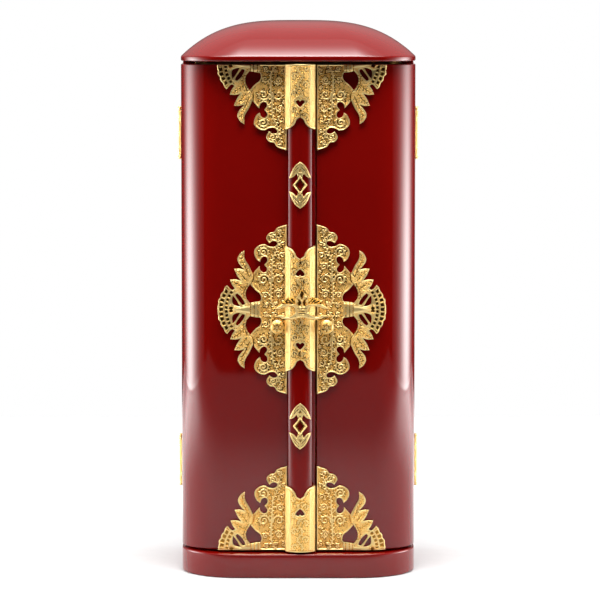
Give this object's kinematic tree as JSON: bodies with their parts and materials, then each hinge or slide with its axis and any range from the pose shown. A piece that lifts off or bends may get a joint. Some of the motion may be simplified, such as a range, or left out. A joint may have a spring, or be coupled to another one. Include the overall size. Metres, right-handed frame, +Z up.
{
  "type": "portable shrine",
  "caption": "Small upright lacquered cabinet shrine with a domed cap, two doors that wrap its front corners, and pierced gilt fittings.",
  "frame": {"origin": "centre of the base's underside", "axes": "+Z up, the doors face -Y, +X to the right seen from the front"},
  "size_m": [0.079, 0.0642, 0.178],
  "materials": {
    "red_lacquer": "gloss",
    "gilt": "polished"
  },
  "bodies": {
    "cabinet": {"base": "red_lacquer", "cap": "red_lacquer", "cabinet_wall": "red_lacquer", "hinge_left_top_frame_leaf": "gilt", "hinge_left_top_pin": "gilt", "hinge_left_bottom_frame_leaf": "gilt", "hinge_left_bottom_pin": "gilt", "hinge_right_top_frame_leaf": "gilt", "hinge_right_top_pin": "gilt", "hinge_right_bottom_frame_leaf": "gilt", "hinge_right_bottom_pin": "gilt"},
    "left_door": {"left_door": "red_lacquer", "centre_strip": "red_lacquer", "strip_mount_top": "gilt", "strip_mount_middle": "gilt", "strip_mount_bottom": "gilt", "strip_medallion_upper": "gilt", "strip_medallion_lower": "gilt", "left_plate_top": "gilt", "left_plate_middle": "gilt", "left_plate_bottom": "gilt", "door_clasp": "gilt", "left_knob": "gilt", "hinge_left_top_door_leaf": "gilt", "hinge_left_bottom_door_leaf": "gilt"},
    "right_door": {"right_door": "red_lacquer", "right_plate_top": "gilt", "right_plate_middle": "gilt", "right_plate_bottom": "gilt", "right_knob": "gilt", "hinge_right_top_door_leaf": "gilt", "hinge_right_bottom_door_leaf": "gilt"}
  },
  "joints": [
    {"name": "left_door_hinge", "type": "hinge", "parent": "cabinet", "child": "left_door", "pos_m": [-0.03865, 0.004, 0.0862], "axis": [0, 0, -1], "range_deg": [0, 170]},
    {"name": "right_door_hinge", "type": "hinge", "parent": "cabinet", "child": "right_door", "pos_m": [0.03865, 0.004, 0.0862], "axis": [0, 0, 1], "range_deg": [0, 170]}
  ]
}
